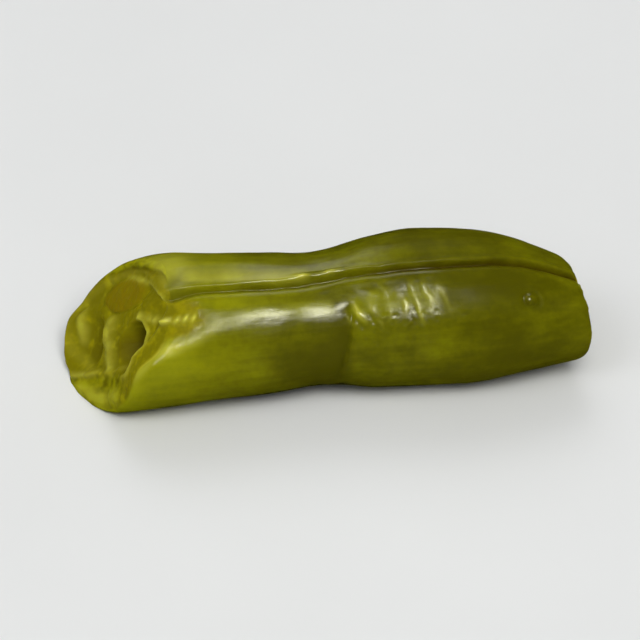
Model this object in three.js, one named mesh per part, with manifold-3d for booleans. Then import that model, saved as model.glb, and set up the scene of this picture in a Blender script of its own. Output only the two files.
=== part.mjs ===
// A cooked cut of green bean pod, about 33 mm long, lying on its side.
//
// The pod is one grown piece: two fleshy valves that meet in a seam groove along the top, swollen over the seeds
// and pinched in at a waist between them. The end at -X is a slanting slice, a little pillowed, that opens the
// seed chamber and passes through a small seed which is still fast to the wall. Beside that slice the edge of
// the front valve has come away and left a shallow scoop. The other end tapers towards the tip, which has been
// cut off. The pod is soft, so its underside has settled into two narrow flats, one on each side of the waist.
//
// Millimetres, +Z up. X runs along the pod from the slanting slice to the narrow end, the front is -Y, and the
// origin is under the middle of the pod on the surface that it rests on. An angle round the pod is 0 degrees at
// the front and 90 degrees at the top.

import * as THREE from "three";
import { mergeVertices } from "three/addons/utils/BufferGeometryUtils.js";
import Module from "manifold-3d";

const wasm = await Module();
wasm.setup();

// ---------------------------------------------------------------- driving dimensions

// Radius of the pod by its place along X.
const GIRTH = [
  [-20.0, 4.7],
  [-14.0, 4.83],
  [-11.0, 4.84],
  [-8.0, 4.71],
  [-3.1, 4.47],
  [-0.6, 4.27], // the waist
  [1.1, 4.42],
  [3.0, 4.77],
  [5.0, 4.97],
  [7.2, 5.03],
  [10.0, 4.87],
  [12.5, 4.38],
  [14.6, 3.72],
  [17.0, 3.0],
  [20.0, 2.4],
];

// How far the middle of the pod sways towards the back, and how high it lies above the surface.
const SWAY = [
  [-20.0, 0.4],
  [-14.0, 0.15],
  [-8.0, 0.02],
  [0.0, 0.0],
  [5.0, 0.03],
  [8.0, -0.12],
  [12.5, -0.4],
  [16.0, -0.85],
  [20.0, -1.5],
];
const RISE = [
  [-20.0, 4.6],
  [-14.0, 4.64],
  [-8.0, 4.56],
  [0.0, 4.55],
  [7.0, 4.72],
  [12.5, 4.5],
  [16.0, 4.1],
  [20.0, 3.5],
];

// Where the seam groove lies round the pod, in degrees.
const SEAM = [
  [-20.0, 72],
  [-8.0, 72],
  [-1.0, 73.5],
  [1.5, 76],
  [4.0, 73.3],
  [8.0, 73],
  [12.5, 79],
  [20.0, 86],
];

// Radius of the section as a share of the pod's radius, by the angle from the seam groove.
const SECTION = [
  [-180, 1.012], // the back seam, a low blunt ridge
  [-162, 0.99],
  [-117, 0.99],
  [-72, 1.0],
  [-36, 1.008],
  [-24, 1.005], // the front valve's shoulder beside the groove
  [-12, 0.972],
  [-6, 0.957],
  [0, 0.895], // the bottom of the groove
  [6, 0.992], // the back valve's lip
  [18, 1.006],
  [58, 1.005],
  [115, 0.995],
  [162, 0.99],
];

// A slice is square to X until it is sloped: it falls back into the pod by this much per millimetre towards the
// angle given, and pillows back by the square of the distance across the pillow angle. The near slice also
// falls back at its torn rim, by the millimetres in opened, and bulges below the scoop, by the number in tucked
// times the distances from the middle along its first axis and against its second.
const NEAR_SLICE = {
  x: -13.23,
  facing: -1,
  slope: 0.578,
  towards: 70,
  pillow: 0.055,
  across: 130,
  opened: 0.85,
  tucked: 0.07,
};
const FAR_SLICE = {
  x: 16.4,
  facing: 1,
  slope: 0.2,
  towards: 190,
  pillow: 0.02,
  across: 100,
  opened: 0,
  tucked: 0,
};

// The angles round the pod between which the near slice's rim is torn: it opens over the first pair and closes
// over the second. The opening grows outwards by this power of the distance from the middle.
const TORN_RIM = { from: 4, fully: 26, until: 62, to: 80, power: 2.4 };

const FACE_ANGLE = 40; // of a slice's first axis; its second axis is a quarter turn further round

// Pockets of the seed chamber that a slice opens. Each is centred on its slice, out from the middle of the pod
// at its own angle. Sizes are half-sizes: along X, across the angle given by turn, and at a right angle to that.
const NEAR_POCKETS = [
  { angle: 30, out: 1.9, turn: 40, length: 4.5, wide: 1.35, high: 1.45 },
  { angle: -143, out: 2.4, turn: 40, length: 3.6, wide: 1.15, high: 1.65 },
  { angle: 116, out: 2.2, turn: 35, length: 3.4, wide: 1.75, high: 1.2 },
];
const FAR_POCKETS = [
  { angle: 60, out: 0.6, turn: 80, length: 3.6, wide: 1.35, high: 0.8 },
];

// The seed in the uppermost pocket, let into the wall on its far side.
const SEED = { angle: 119, out: 2.45, turn: 35, length: 3.2, wide: 1.5, high: 1.05 };

// The scoop beside the near slice where the edge of the front valve has come away.
const SCOOP = { x: -10.6, angle: 45, length: 4.9, wide: 2.45, depth: 0.62 };

const FACETS_ROUND = 60; // six degrees each, so that one row of points lies in the groove
const FACETS_ALONG = 50;
const BALL_FACETS = 20;
const SLICE_FACETS = 28;
const CUTTER_SIZE = 40;

// ---------------------------------------------------------------- curves

// Smooth curve through [place, value] pairs; with a period it closes on itself.
function curveThrough(points, period) {
  const count = points.length;
  const wrap = (i) => {
    if (!period) return points[Math.min(Math.max(i, 0), count - 1)];
    const turns = Math.floor(i / count);
    const [place, value] = points[i - turns * count];
    return [place + turns * period, value];
  };
  const slope = (i) => {
    const [before, low] = wrap(i - 1);
    const [after, high] = wrap(i + 1);
    return (high - low) / (after - before);
  };
  return (place) => {
    const first = points[0][0];
    const at = period ? first + THREE.MathUtils.euclideanModulo(place - first, period) : place;
    let i = 0;
    while (i < count - (period ? 1 : 2) && wrap(i + 1)[0] <= at) i += 1;
    const [x0, y0] = wrap(i);
    const [x1, y1] = wrap(i + 1);
    const width = x1 - x0;
    const t = THREE.MathUtils.clamp((at - x0) / width, 0, 1);
    const t2 = t * t;
    const t3 = t2 * t;
    return (
      y0 * (2 * t3 - 3 * t2 + 1) +
      y1 * (3 * t2 - 2 * t3) +
      width * (slope(i) * (t3 - 2 * t2 + t) + slope(i + 1) * (t3 - t2))
    );
  };
}

const girthAt = curveThrough(GIRTH);
const swayAt = curveThrough(SWAY);
const riseAt = curveThrough(RISE);
const seamAt = curveThrough(SEAM);
const shareAt = curveThrough(SECTION, 360);

// The middle of the pod's section at x.
function middleAt(x) {
  return new THREE.Vector3(x, swayAt(x), riseAt(x));
}

// The direction out of the pod at an angle round it.
function outwardAt(degrees) {
  const angle = THREE.MathUtils.degToRad(degrees);
  return new THREE.Vector3(0, -Math.cos(angle), Math.sin(angle));
}

// How far a slice falls back into the pod at a point that lies this far from the middle.
function fallBack(slice, fromMiddle) {
  const along = fromMiddle.dot(outwardAt(slice.towards));
  const across = fromMiddle.dot(outwardAt(slice.across));
  const first = fromMiddle.dot(outwardAt(FACE_ANGLE));
  const second = fromMiddle.dot(outwardAt(FACE_ANGLE + 90));
  const angle = THREE.MathUtils.radToDeg(Math.atan2(fromMiddle.z, -fromMiddle.y));
  const { smoothstep } = THREE.MathUtils;
  const torn =
    smoothstep(angle, TORN_RIM.from, TORN_RIM.fully) *
    (1 - smoothstep(angle, TORN_RIM.until, TORN_RIM.to));
  const share = Math.min(fromMiddle.length() / girthAt(slice.x), 1);
  return (
    slice.slope * along +
    slice.pillow * across ** 2 +
    slice.opened * torn * share ** TORN_RIM.power -
    slice.tucked * Math.max(first, 0) * Math.max(-second, 0)
  );
}

// ---------------------------------------------------------------- solids

function solidFrom(geometry) {
  const bare = geometry.clone();
  bare.deleteAttribute("normal");
  bare.deleteAttribute("uv");
  const merged = mergeVertices(bare, 1e-4);
  return new wasm.Manifold(
    new wasm.Mesh({
      numProp: 3,
      vertProperties: merged.attributes.position.array,
      triVerts: new Uint32Array(merged.index.array),
    }),
  );
}

function geometryFrom(solid) {
  const mesh = solid.getMesh();
  const geometry = new THREE.BufferGeometry();
  geometry.setAttribute("position", new THREE.BufferAttribute(mesh.vertProperties, 3));
  geometry.setIndex(new THREE.BufferAttribute(mesh.triVerts, 1));
  geometry.computeVertexNormals();
  return geometry;
}

// Moves every point of a geometry to where the given function puts it.
function reshape(geometry, move) {
  const position = geometry.attributes.position;
  const point = new THREE.Vector3();
  for (let i = 0; i < position.count; i += 1) {
    const moved = move(point.fromBufferAttribute(position, i));
    position.setXYZ(i, moved.x, moved.y, moved.z);
  }
}

// The pod before it was sliced: a cylinder of radius 1 whose points are moved out to the pod's own girth and
// section. Each row of points keeps its place beside the seam as the seam wanders.
function uncutPod() {
  const first = GIRTH[0][0];
  const last = GIRTH[GIRTH.length - 1][0];
  const geometry = new THREE.CylinderGeometry(1, 1, last - first, FACETS_ROUND, FACETS_ALONG);
  geometry.rotateZ(-Math.PI / 2);
  geometry.translate((first + last) / 2, 0, 0);
  reshape(geometry, ({ x, y, z }) => {
    const fromSeam = THREE.MathUtils.radToDeg(Math.atan2(z, -y));
    const reach = Math.hypot(y, z) * girthAt(x) * shareAt(fromSeam);
    return middleAt(x).addScaledVector(outwardAt(seamAt(x) + fromSeam), reach);
  });
  return solidFrom(geometry);
}

// A rounded body in the pod, centred on a slice.
function bodyOnSlice(slice, { angle, out, turn, length, wide, high }) {
  const geometry = new THREE.SphereGeometry(1, BALL_FACETS, BALL_FACETS / 2);
  geometry.scale(length, wide, high);
  geometry.rotateX(THREE.MathUtils.degToRad(-turn));
  const fromMiddle = outwardAt(angle).multiplyScalar(out);
  const middle = middleAt(slice.x).add(fromMiddle);
  middle.x -= slice.facing * fallBack(slice, fromMiddle);
  geometry.translate(middle.x, middle.y, middle.z);
  return solidFrom(geometry);
}

// The block that takes away everything past a slice.
function pastSlice(slice) {
  const half = CUTTER_SIZE / 2;
  const block = new THREE.BoxGeometry(half, half, half, 1, SLICE_FACETS, SLICE_FACETS);
  const middle = middleAt(slice.x);
  reshape(block, (point) => {
    const fallen = fallBack(slice, point.clone().setX(0));
    return point.setX(point.x + slice.facing * (half / 2 - fallen)).add(middle);
  });
  return solidFrom(block);
}

function underSurface() {
  const block = new THREE.BoxGeometry(2 * CUTTER_SIZE, CUTTER_SIZE, CUTTER_SIZE);
  block.translate(0, 0, -CUTTER_SIZE / 2);
  return solidFrom(block);
}

function scoopBesideSlice() {
  const geometry = new THREE.SphereGeometry(1, BALL_FACETS, BALL_FACETS / 2);
  geometry.scale(SCOOP.length, SCOOP.wide, SCOOP.depth);
  geometry.rotateX(THREE.MathUtils.degToRad(90 - SCOOP.angle));
  const reach = girthAt(SCOOP.x) * shareAt(SCOOP.angle - seamAt(SCOOP.x));
  const middle = middleAt(SCOOP.x).addScaledVector(outwardAt(SCOOP.angle), reach);
  geometry.translate(middle.x, middle.y, middle.z);
  return solidFrom(geometry);
}

function cutPod() {
  let pod = uncutPod();
  for (const pocket of NEAR_POCKETS) pod = pod.subtract(bodyOnSlice(NEAR_SLICE, pocket));
  for (const pocket of FAR_POCKETS) pod = pod.subtract(bodyOnSlice(FAR_SLICE, pocket));
  return pod
    .add(bodyOnSlice(NEAR_SLICE, SEED))
    .subtract(scoopBesideSlice())
    .subtract(pastSlice(NEAR_SLICE))
    .subtract(pastSlice(FAR_SLICE))
    .subtract(underSurface());
}

// ---------------------------------------------------------------- the part

const beanFlesh = new THREE.MeshStandardMaterial({
  name: "cooked bean",
  color: "#686903",
  roughness: 0.32,
  metalness: 0,
});

const geometry = geometryFrom(cutPod());
geometry.computeBoundingBox();
const { min, max } = geometry.boundingBox;

const pod = new THREE.Mesh(geometry, beanFlesh);
pod.name = "green_bean";
pod.position.set(-(min.x + max.x) / 2, -(min.y + max.y) / 2, -min.z);

const greenBean = new THREE.Group();
greenBean.add(pod);

export default greenBean;
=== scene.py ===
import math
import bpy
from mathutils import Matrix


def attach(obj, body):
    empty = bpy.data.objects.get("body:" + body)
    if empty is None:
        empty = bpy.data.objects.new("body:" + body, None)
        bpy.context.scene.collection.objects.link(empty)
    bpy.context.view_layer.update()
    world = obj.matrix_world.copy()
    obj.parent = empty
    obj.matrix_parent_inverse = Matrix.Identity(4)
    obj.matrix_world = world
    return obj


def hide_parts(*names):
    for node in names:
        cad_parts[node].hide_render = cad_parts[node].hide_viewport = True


bl_info = {
    "name": "Green Bean",
    "version": (1, 0, 0),
    "blender": (4, 5, 0),
    "location": "3D View > Sidebar > Bean",
    "description": "A cut piece of cooked green bean, lying on its side, with its stage and camera",
    "category": "Add Mesh",
}

from functools import partial

import bpy
import numpy as np
from mathutils import Vector, noise

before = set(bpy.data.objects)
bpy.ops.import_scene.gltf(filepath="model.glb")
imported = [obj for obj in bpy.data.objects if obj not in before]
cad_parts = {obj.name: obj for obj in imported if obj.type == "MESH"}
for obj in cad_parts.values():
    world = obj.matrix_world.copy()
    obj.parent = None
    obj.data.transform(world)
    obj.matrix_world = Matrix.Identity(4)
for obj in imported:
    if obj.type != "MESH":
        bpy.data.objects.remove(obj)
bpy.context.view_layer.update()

MM = 0.001

# ------ the pod's own sizes, in millimetres

# The pod is laid out along X from its waist, and then moved so that its box stands over the frame's origin.
MOVE_TO_FRAME = (-0.5914, 0.0732, 0.0)

GIRTH = [  # place along the pod, radius
    (-20, 4.7), (-14, 4.83), (-11, 4.84), (-8, 4.71), (-3.1, 4.47), (-0.6, 4.27), (1.1, 4.42),
    (3, 4.77), (5, 4.97), (7.2, 5.03), (10, 4.87), (12.5, 4.38), (14.6, 3.72), (17, 3), (20, 2.4),
]
SWAY = [  # place along, how far the middle lies to the back
    (-20, 0.4), (-14, 0.15), (-8, 0.02), (0, 0), (5, 0.03), (8, -0.12), (12.5, -0.4), (16, -0.85),
    (20, -1.5),
]
RISE = [  # place along, height of the middle
    (-20, 4.6), (-14, 4.64), (-8, 4.56), (0, 4.55), (7, 4.72), (12.5, 4.5), (16, 4.1), (20, 3.5),
]
SEAM = [  # place along, angle of the seam groove round the pod
    (-20, 72), (-8, 72), (-1, 73.5), (1.5, 76), (4, 73.3), (8, 73), (12.5, 79), (20, 86),
]
SECTION = [  # degrees from the seam, share of the radius, without the groove and its lip
    (-180, 1.01), (-162, 0.99), (-117, 0.99), (-72, 1), (-48, 1.009), (-36, 1.01), (-26, 1.006),
    (-17, 0.996), (-10, 0.982), (-4, 0.968), (2, 0.968), (8, 0.982), (16, 0.998), (28, 1.007),
    (60, 1.005), (115, 0.995), (162, 0.99),
]

# A slice falls back into the pod by its slope towards one angle, and pillows across another. The near slice
# also falls back at its torn rim, by opened, and bulges below the torn patch, by tucked.
NEAR_SLICE = {
    "x": -13.23, "slope": 0.578, "towards": 70.0, "pillow": 0.055, "across": 130.0,
    "opened": 0.85, "tucked": 0.07,
}
FAR_SLICE = {
    "x": 16.4, "slope": 0.2, "towards": 190.0, "pillow": 0.02, "across": 100.0,
    "opened": 0.0, "tucked": 0.0,
}

FACE_ANGLE = 40.0  # angle round the pod of a slice's first axis; the second is a quarter turn further
ON_SLICE = 0.004  # points of the blank this near to a slice lie on it
SKIN_FROM = 0.9  # share of the radius at which the skin begins
TORN_RIM = (4, 26, 62, 80)  # angles round the pod where the near slice's rim begins and ends to be torn

# Each noise has its own number, so that no two patterns follow each other.
PATTERN = {
    "seam line": 3, "groove": 4, "swells": 5, "dimples": 6, "ribs": 7, "crease": 8, "wrinkles": 9,
    "strokes": 10, "pebbles": 11, "tear edge": 12, "tear lumps": 14, "fibre": 15, "near grain": 20,
    "near swell": 21, "far grain": 22, "far swell": 23, "near spots": 24, "far spots": 25,
    "stroke ends": 26, "stroke tops": 27, "crinkle": 28, "skin_tone_and_painted_light": 30, "lip sheen": 31,
}


# ------ small tools


def curve_through(points, period=None):
    """A smooth curve through (place, value) pairs, closed on itself where it has a period."""
    places = np.array([p[0] for p in points], float)
    values = np.array([p[1] for p in points], float)
    if period:
        places = np.concatenate([places[-2:] - period, places, places[:2] + period])
        values = np.concatenate([values[-2:], values, values[:2]])
    else:
        places = np.concatenate([places[:1], places, places[-1:]])
        values = np.concatenate([values[:1], values, values[-1:]])
    slopes = np.zeros_like(values)
    slopes[1:-1] = (values[2:] - values[:-2]) / (places[2:] - places[:-2])

    def value_at(place):
        place = np.asarray(place, float)
        if period:
            place = (place - points[0][0]) % period + points[0][0]
        i = np.clip(np.searchsorted(places, place, side="right") - 1, 1, len(places) - 3)
        width = places[i + 1] - places[i]
        t = np.clip((place - places[i]) / width, 0.0, 1.0)
        rise = values[i] * (2 * t**3 - 3 * t**2 + 1) + values[i + 1] * (3 * t**2 - 2 * t**3)
        return rise + width * (slopes[i] * (t**3 - 2 * t**2 + t) + slopes[i + 1] * (t**3 - t**2))

    return value_at


def ease(low, high, value):
    """0 below low, 1 above high and smooth between; falls instead where low is the larger."""
    t = np.clip((value - low) / (high - low), 0.0, 1.0)
    return t * t * (3 - 2 * t)


def hump(value, middle, width):
    """A soft hump of height 1 round middle."""
    return np.exp(-(((value - middle) / width) ** 2))


def noise_at(points, sizes, pattern, octaves):
    """Noise between about -1 and 1 at points in mm, with features of the given sizes along X, Y and Z."""
    apart, gain, step = 17.31, 0.9, 2.1
    scaled = points / np.asarray(sizes, float) + PATTERN[pattern] * apart
    return np.array([noise.fractal(Vector(p), gain, step, octaves) for p in scaled])


girth_at = curve_through(GIRTH)
sway_at = curve_through(SWAY)
rise_at = curve_through(RISE)
seam_at = curve_through(SEAM)
section_at = curve_through(SECTION, 360)


def linear(code):
    """An sRGB hex code as linear red, green and blue."""
    parts = [int(code[i : i + 2], 16) / 255 for i in (1, 3, 5)]
    return tuple(p / 12.92 if p <= 0.04045 else ((p + 0.055) / 1.055) ** 2.4 for p in parts)


# ------ what a user would change


class BeanShape(bpy.types.PropertyGroup):
    """Sizes of the pod's surface detail"""

    groove_depth: bpy.props.FloatProperty(
        name="Groove depth", description="Depth of the seam groove", default=0.42 * MM, unit="LENGTH",
        precision=5,
    )
    lip_height: bpy.props.FloatProperty(
        name="Lip height", description="How far the back valve's lip stands over the groove",
        default=0.10 * MM, unit="LENGTH", precision=5,
    )
    wrinkle_height: bpy.props.FloatProperty(
        name="Wrinkle height", description="Height of the fine cross wrinkles on the shoulder",
        default=0.038 * MM, unit="LENGTH", precision=5,
    )
    tear_depth: bpy.props.FloatProperty(
        name="Tear depth", description="Depth of the torn patch beside the slanting slice",
        default=1.0 * MM, unit="LENGTH", precision=5,
    )


class BeanColours(bpy.types.PropertyGroup):
    """Colours of the cooked bean"""

    skin_deep: bpy.props.FloatVectorProperty(
        name="Skin, deep", description="Skin where the cooked green is darkest", subtype="COLOR", size=3,
        min=0, max=1, default=linear("#4e4c01"),
    )
    skin_yellow: bpy.props.FloatVectorProperty(
        name="Skin, yellow", description="Skin where it has turned yellow", subtype="COLOR", size=3,
        min=0, max=1, default=linear("#949606"),
    )
    flesh: bpy.props.FloatVectorProperty(
        name="Flesh", description="Cut and torn flesh", subtype="COLOR", size=3, min=0, max=1,
        default=linear("#7a7406"),
    )
    flesh_pale: bpy.props.FloatVectorProperty(
        name="Flesh, pale", description="Paler and juicier flesh", subtype="COLOR", size=3, min=0, max=1,
        default=linear("#a8a10a"),
    )
    # The lining colour is the chamber's pale membrane and fibres, and also stands in for painted highlights,
    # sheen and glints on the lip, the drops, the wrinkle crests, the tear's lip, the top rim, the ledge and
    # the fibre's beads.
    lining: bpy.props.FloatVectorProperty(
        name="Lining", description="Pale lining of the seed chamber, and fibres", subtype="COLOR", size=3,
        min=0, max=1, default=linear("#c4c246"),
    )
    seed: bpy.props.FloatVectorProperty(
        name="Seed", description="Cut seed", subtype="COLOR", size=3, min=0, max=1,
        default=linear("#7d6e04"),
    )
    # The hollow colour is mostly painted shade: a dark brown laid where shade falls in the groove, the
    # chamber's hollows, crevice and split and the far chamber, with a little of the tissue's own brown.
    hollow: bpy.props.FloatVectorProperty(
        name="Hollow", description="Stained hollows of the seed chamber", subtype="COLOR", size=3,
        min=0, max=1, default=linear("#3d2c00"),
    )


class BeanStage(bpy.types.PropertyGroup):
    """Camera, floor and light"""

    azimuth: bpy.props.FloatProperty(
        name="Azimuth", description="Where the camera stands round the bean; 0 looks along +Y",
        default=math.radians(-8), subtype="ANGLE",
    )
    elevation: bpy.props.FloatProperty(
        name="Elevation", description="Height of the camera over the floor", default=math.radians(40),
        subtype="ANGLE",
    )
    view_width: bpy.props.FloatProperty(
        name="View width", description="Width of the picture at the bean", default=40.8 * MM, unit="LENGTH",
        precision=4,
    )
    floor: bpy.props.FloatVectorProperty(
        name="Floor", description="Colour of the floor", subtype="COLOR", size=3, min=0, max=1,
        default=linear("#e2e4e6"),
    )


# ------ modelling the pod

ROUND_SEGMENTS = 56
SIDE_RINGS = 68
NEAR_RINGS = 19
FAR_RINGS = 12
ROUNDING_LEVELS = 2
CRISP_SKIN = 0.14  # mm from a slice's edge to the next ring along the skin
CRISP_FACE = 0.12  # mm from a slice's edge to the next ring on the slice
ROUNDED = (2 + math.cos(2 * math.pi / ROUND_SEGMENTS)) / 3  # what the rounding leaves of the radius
CROWDING = 0.42  # how far the lengthwise rows are drawn together at the seam


def deselect_everything():
    bpy.ops.object.select_all(action="DESELECT")


def model_blank():
    """The pod as a straight, closed blank: one ring extruded along X, and both of its ends drawn in."""
    deselect_everything()
    near, far = NEAR_SLICE["x"], FAR_SLICE["x"]
    radius = float(girth_at(near))
    bpy.ops.mesh.primitive_circle_add(
        vertices=ROUND_SEGMENTS, radius=radius * MM,
        location=(near * MM, 0, 0), rotation=(0, math.pi / 2, 0),
    )
    blank = bpy.context.object
    blank.name = "green_bean_pod"
    bpy.ops.object.transform_apply(location=True, rotation=True, scale=True)
    bpy.ops.object.mode_set(mode="EDIT")
    bpy.ops.mesh.select_mode(type="EDGE")
    bpy.ops.mesh.select_all(action="SELECT")

    # Rings stand closer at both ends, so that the slices keep a crisp edge.
    steps = np.linspace(0.0, 1.0, SIDE_RINGS + 1)[1:-1]
    first, last = near + CRISP_SKIN, far - CRISP_SKIN
    stations = [first, *(first + (last - first) * steps), last, far]
    place = near
    for station in stations:
        bpy.ops.mesh.extrude_region_move(TRANSFORM_OT_translate={"value": ((station - place) * MM, 0, 0)})
        share = float(girth_at(station)) / radius
        bpy.ops.transform.resize(value=(1, share, share), center_override=(station * MM, 0, 0))
        place, radius = station, radius * share
    draw_end_in(far, radius, FAR_RINGS)

    bpy.ops.mesh.select_all(action="DESELECT")
    bpy.ops.mesh.select_non_manifold()
    draw_end_in(near, float(girth_at(near)), NEAR_RINGS)
    bpy.ops.mesh.select_all(action="SELECT")
    bpy.ops.mesh.normals_make_consistent(inside=False)
    bpy.ops.object.mode_set(mode="OBJECT")
    return blank


def draw_end_in(place, radius, rings):
    """Closes an open end with smaller and smaller rings that meet in the middle."""
    outermost = radius - CRISP_FACE
    wanted = [outermost, *np.linspace(outermost, 0.0, rings + 1)[1:-1]]
    for ring in wanted:
        bpy.ops.mesh.extrude_region_move(TRANSFORM_OT_translate={"value": (0, 0, 0)})
        bpy.ops.transform.resize(
            value=(1, ring / radius, ring / radius), center_override=(place * MM, 0, 0)
        )
        radius = ring
    bpy.ops.mesh.extrude_region_move(TRANSFORM_OT_translate={"value": (0, 0, 0)})
    bpy.ops.mesh.merge(type="CENTER")


def round_off(piece):
    modifier = piece.modifiers.new("Rounding", "SUBSURF")
    modifier.levels = modifier.render_levels = ROUNDING_LEVELS
    bpy.ops.object.modifier_apply(modifier=modifier.name)


# ------ sculpting the pod

# The torn patch beside the slanting slice, where the front valve's edge has come away: its lower and its
# upper border, as (place along, degrees round). Both run from the slice to the tip.
TEAR_LOWER = [
    (-17, -6), (-12.6, 2), (-12.1, 9), (-11.35, 20), (-10.4, 25.5), (-9.6, 28), (-8.15, 34), (-7.2, 39),
    (-6.4, 42.5), (-5.7, 45), (-4, 46),
]
TEAR_UPPER = [
    (-17, 74), (-9.2, 72.5), (-8.4, 68), (-7.6, 61), (-6.8, 53.5), (-6.2, 48.5), (-5.7, 45), (-4, 44),
]
TEAR_DEPTH = [  # place along, share of the depth
    (-17, 0.3), (-12.9, 0.35), (-12.2, 0.58), (-11.4, 0.78), (-10.8, 0.72), (-10.1, 0.54), (-8.8, 0.3),
    (-7.5, 0.11), (-6, 0.03), (-4.5, 0),
]

# The loose fibre that lies across the slice and the torn patch: how far it has come along its length from the
# middle of the slice, in mm, and its place up the slice. Then its beads of liquid: place, height and length.
FIBRE = [(1, 1.25), (1.7, 1.05), (2.9, 0.86), (4.2, 0.76), (5.2, 0.76), (6.4, 0.7), (9, 0.6)]
FIBRE_BEADS = [
    (1.75, 0.18, 0.28), (2.55, 0.07, 0.18), (3.1, 0.12, 0.2), (3.6, 0.08, 0.14), (4.2, 0.38, 0.25),
    (4.9, 0.22, 0.17), (5.48, 0.26, 0.18), (6.06, 0.2, 0.17),
]

SEAM_DROPS = [(-1.25, 0.40), (0.50, 0.45)]  # drops on the back valve's lip: place along, half length
BEAD_AT = (13.1, 44.5)  # the drop on the shoulder: place along, degrees round
BEAD_SIZE = 0.42

# How far the skin's deep colour goes over to yellow along the pod, on the front below the shoulder and on
# top. It is lightest towards the slanting slice, and darkest at the waist.
YELLOW_FRONT = [
    (-17, 0.8), (-12, 0.74), (-9, 0.62), (-6, 0.44), (-4, 0.3), (-1, 0.13), (0.9, 0), (1.6, 0.24),
    (4, 0.34), (6.5, 0.27), (9, 0.16), (12, 0.1), (17, 0.28),
]
YELLOW_TOP = [
    (-17, 0.75), (-9, 0.58), (-4, 0.42), (1, 0.34), (4, 0.27), (7, 0.17), (11, 0.1), (17, 0.26),
]


def along_curve(points, places):
    """Straight lines through (place, value) pairs."""
    return np.interp(places, [p[0] for p in points], [p[1] for p in points])


# What the material reads at each point, from 0 to 1: which tissue shows and how much painted shade darkens it,
# how much pale lining and painted highlight lies on it, how far its colour has gone yellow (with some painted
# sheen and shade in it), how much painted highlight lies along the tear's border, how little liquid lies
# there, and whether it is on a slice.
MASKS = ("flesh", "lining", "seed", "hollow", "yellow", "edge", "dry", "face")


class PodSurface:
    """The blank's points as places on a pod: along it, round it from the seam, and out from its middle."""

    def __init__(self, mesh):
        points = np.empty(len(mesh.vertices) * 3)
        mesh.vertices.foreach_get("co", points)
        points = points.reshape(-1, 3) / MM
        self.blank_along = points[:, 0]
        reach = np.hypot(points[:, 1], points[:, 2])
        from_seam = np.arctan2(points[:, 2], -points[:, 1])
        self.from_seam = np.degrees(from_seam - CROWDING * np.sin(from_seam))
        self.share = np.clip(reach / girth_at(self.blank_along) / ROUNDED, 0, 1)
        near, far = NEAR_SLICE["x"], FAR_SLICE["x"]
        self.off_near = self.blank_along - near  # mm of skin between a point and either slice
        self.off_far = far - self.blank_along
        self.on_near = (self.off_near < ON_SLICE).astype(float)
        self.on_far = (self.off_far < ON_SLICE).astype(float)
        self.skin = ease(SKIN_FROM, 1.0, self.share)
        self.lay_out()
        self.dent = np.zeros_like(self.share)  # outwards, in mm
        self.push = np.zeros_like(self.share)  # along X, in mm
        self.masks = {name: np.zeros_like(self.share) for name in MASKS}

    def lay_out(self):
        """Slants and pillows both ends, and spreads the slant through the length between them."""
        near, far = NEAR_SLICE["x"], FAR_SLICE["x"]
        through = np.clip((self.blank_along - near) / (far - near), 0, 1)
        self.along = self.blank_along
        for _ in range(3):  # the seam wanders, so a point's place round the pod depends on its place along
            self.round = seam_at(self.along) + self.from_seam
            self.along = (
                self.blank_along
                + (1 - through) * self.fall_back(NEAR_SLICE)
                - through * self.fall_back(FAR_SLICE)
            )
        self.reach = self.share * girth_at(self.along) * (
            1 + (section_at(self.from_seam) - 1) * ease(0.0, 1.0, self.share)
        )
        self.arc = np.radians(self.from_seam) * girth_at(self.along)  # mm round the pod from the seam
        turn = np.radians(self.round - FACE_ANGLE)
        self.first, self.second = self.reach * np.cos(turn), self.reach * np.sin(turn)
        self.from_edge = (1 - self.share) * girth_at(self.along)

    def fall_back(self, cut, share=None):
        """How far a slice falls back into the pod at each point, or at a given share of the radius."""
        share = self.share if share is None else share
        reach = share * girth_at(cut["x"])
        along = reach * np.cos(np.radians(self.round - cut["towards"]))
        across = reach * np.cos(np.radians(self.round - cut["across"]))
        first = reach * np.cos(np.radians(self.round - FACE_ANGLE))
        second = reach * np.sin(np.radians(self.round - FACE_ANGLE))
        begins, is_torn, still_torn, ends = TORN_RIM
        window = ease(begins, is_torn, self.round) * ease(ends, still_torn, self.round)
        opened = cut["opened"] * window * share**2.4
        tucked = cut["tucked"] * np.maximum(first, 0) * np.maximum(-second, 0)
        return cut["slope"] * along + cut["pillow"] * across**2 + opened - tucked

    def rim_slope(self, cut):
        """How steeply a slice falls back at its rim, in mm along X for each mm outwards."""
        step = 0.04
        return (self.fall_back(cut, 1.0) - self.fall_back(cut, 1.0 - step)) / (step * girth_at(cut["x"]))

    def plain_points(self):
        """The points of the pod as if it were straight and smooth, for patterns that follow it."""
        angle = np.radians(self.from_seam)
        return np.stack([self.along, self.reach * np.cos(angle), self.reach * np.sin(angle)], axis=1)

    def points(self):
        angle = np.radians(self.round)
        reach = self.reach + self.dent
        x = self.along + self.push
        y = sway_at(self.along) - reach * np.cos(angle)
        z = rise_at(self.along) + reach * np.sin(angle)
        return np.stack([x, y, z], axis=1)

    def from_bead(self):
        """How far each point lies from the drop on the shoulder, in mm."""
        along, angle = BEAD_AT
        return np.hypot(self.along - along, np.radians(self.round - angle) * 4.2)

    def stain(self, name, *amounts):
        for amount in amounts:
            self.masks[name] = np.maximum(self.masks[name], amount)


def sculpt_softness(pod):
    """Low swells, sunken spots and fine lengthwise ribs of a skin that was cooked soft."""
    at, skin = pod.plain_points(), pod.skin
    pod.dent += 0.085 * noise_at(at, (5.0, 2.6, 2.6), "swells", 2) * skin
    pod.dent += 0.014 * noise_at(at, (2.2, 1.0, 1.0), "dimples", 3) * skin
    pod.dent += 0.004 * noise_at(at, (6.0, 0.5, 0.5), "ribs", 2) * skin


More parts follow.
